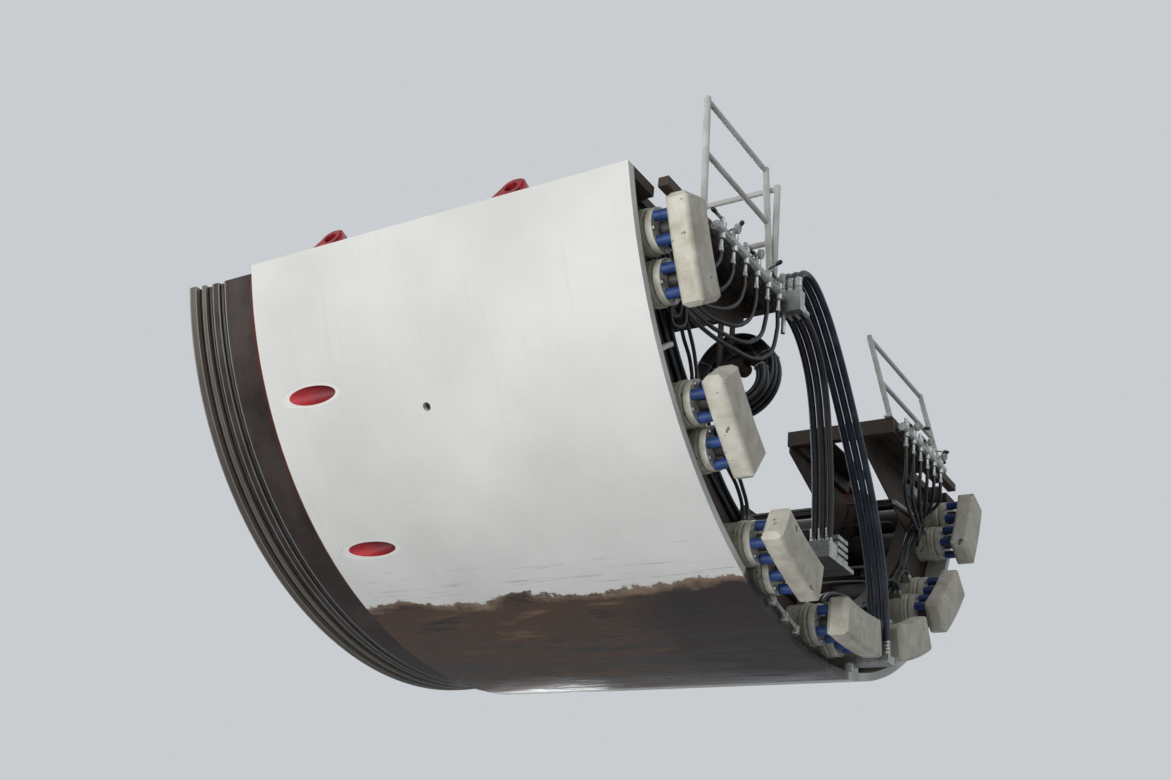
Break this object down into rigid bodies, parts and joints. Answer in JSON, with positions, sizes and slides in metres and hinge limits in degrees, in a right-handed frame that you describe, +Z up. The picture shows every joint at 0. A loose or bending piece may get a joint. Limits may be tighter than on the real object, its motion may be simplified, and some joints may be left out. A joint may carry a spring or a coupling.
{
  "type": "tunnel boring machine middle shield, lower segment",
  "caption": "Lower segment of a tunnel boring machine's middle shield: skin, seal spigot, ring frames, sliding thrust shoes, platforms with rails, valve banks, hoses and lifting lugs.",
  "frame": {"origin": "centre of the four lifting lug eyes, on the shield's middle plane", "axes": "+X along the shield's axis to the rear, where the thrust shoes are; +Z up; +Y to the far side of the picture, square to the axis"},
  "size_m": [4.083, 6.0268, 3.3592],
  "materials": {
    "skin_paint": "white two-pack paint, muddy below",
    "bare_steel": "machined steel, oiled and stained",
    "frame_primer": "dark red-brown primer, dirty",
    "lug_paint": "red paint",
    "port_red": "red paint inside the pipes",
    "barrel_paint": "dark paint, oily",
    "head_paint": "off-white paint",
    "rod_steel": "chromed rods, painted end flanges",
    "sleeve_blue": "blue paint",
    "shoe_pad": "off-white cast polyurethane",
    "deck_primer": "brown primer",
    "rail_paint": "white paint",
    "fittings": "zinc plated fittings",
    "hose_black": "black rubber cover",
    "hose_blue": "blue-black rubber cover"
  },
  "bodies": {
    "shield": {"skin_shell": "skin_paint", "front_spigot": "bare_steel", "front_ring_frame": "frame_primer", "mid_ring_frame": "frame_primer", "aft_ring_frame": "frame_primer", "rear_ring_frame": "frame_primer", "stringers": "frame_primer", "joint_flanges": "frame_primer", "drill_pipes": "port_red", "lifting_lugs": "lug_paint", "cylinder_barrels": "barrel_paint", "cylinder_heads": "head_paint", "platform_near": "deck_primer", "platform_far": "deck_primer", "rear_rail_near": "rail_paint", "rear_rail_far": "rail_paint", "inner_rail_near": "rail_paint", "valve_bank_near": "fittings", "valve_bank_far": "fittings", "hose_manifold": "fittings", "rim_block": "fittings", "hose_loops": "hose_black", "near_hose_1": "hose_black", "rim_hose_1": "hose_blue", "near_hose_2": "hose_black", "rim_hose_2": "hose_blue", "near_hose_3": "hose_black", "rim_hose_3": "hose_blue"},
    "thrust_1": {"rods_1": "rod_steel", "spring_sleeves_1": "sleeve_blue", "shoe_1": "shoe_pad"},
    "thrust_2": {"rods_2": "rod_steel", "spring_sleeves_2": "sleeve_blue", "shoe_2": "shoe_pad"},
    "thrust_3": {"rods_3": "rod_steel", "spring_sleeves_3": "sleeve_blue", "shoe_3": "shoe_pad"},
    "thrust_4": {"rods_4": "rod_steel", "spring_sleeves_4": "sleeve_blue", "shoe_4": "shoe_pad"},
    "thrust_5": {"rods_5": "rod_steel", "spring_sleeves_5": "sleeve_blue", "shoe_5": "shoe_pad"},
    "thrust_6": {"rods_6": "rod_steel", "spring_sleeves_6": "sleeve_blue", "shoe_6": "shoe_pad"},
    "thrust_7": {"rods_7": "rod_steel", "spring_sleeves_7": "sleeve_blue", "shoe_7": "shoe_pad"}
  },
  "joints": [
    {"name": "thrust_1_stroke", "type": "slide", "parent": "shield", "child": "thrust_1", "axis": [1, 0, 0], "range_m": [0, 2.1]},
    {"name": "thrust_2_stroke", "type": "slide", "parent": "shield", "child": "thrust_2", "axis": [1, 0, 0], "range_m": [0, 2.1]},
    {"name": "thrust_3_stroke", "type": "slide", "parent": "shield", "child": "thrust_3", "axis": [1, 0, 0], "range_m": [0, 2.1]},
    {"name": "thrust_4_stroke", "type": "slide", "parent": "shield", "child": "thrust_4", "axis": [1, 0, 0], "range_m": [0, 2.1]},
    {"name": "thrust_5_stroke", "type": "slide", "parent": "shield", "child": "thrust_5", "axis": [1, 0, 0], "range_m": [0, 2.1]},
    {"name": "thrust_6_stroke", "type": "slide", "parent": "shield", "child": "thrust_6", "axis": [1, 0, 0], "range_m": [0, 2.1]},
    {"name": "thrust_7_stroke", "type": "slide", "parent": "shield", "child": "thrust_7", "axis": [1, 0, 0], "range_m": [0, 2.1]}
  ]
}
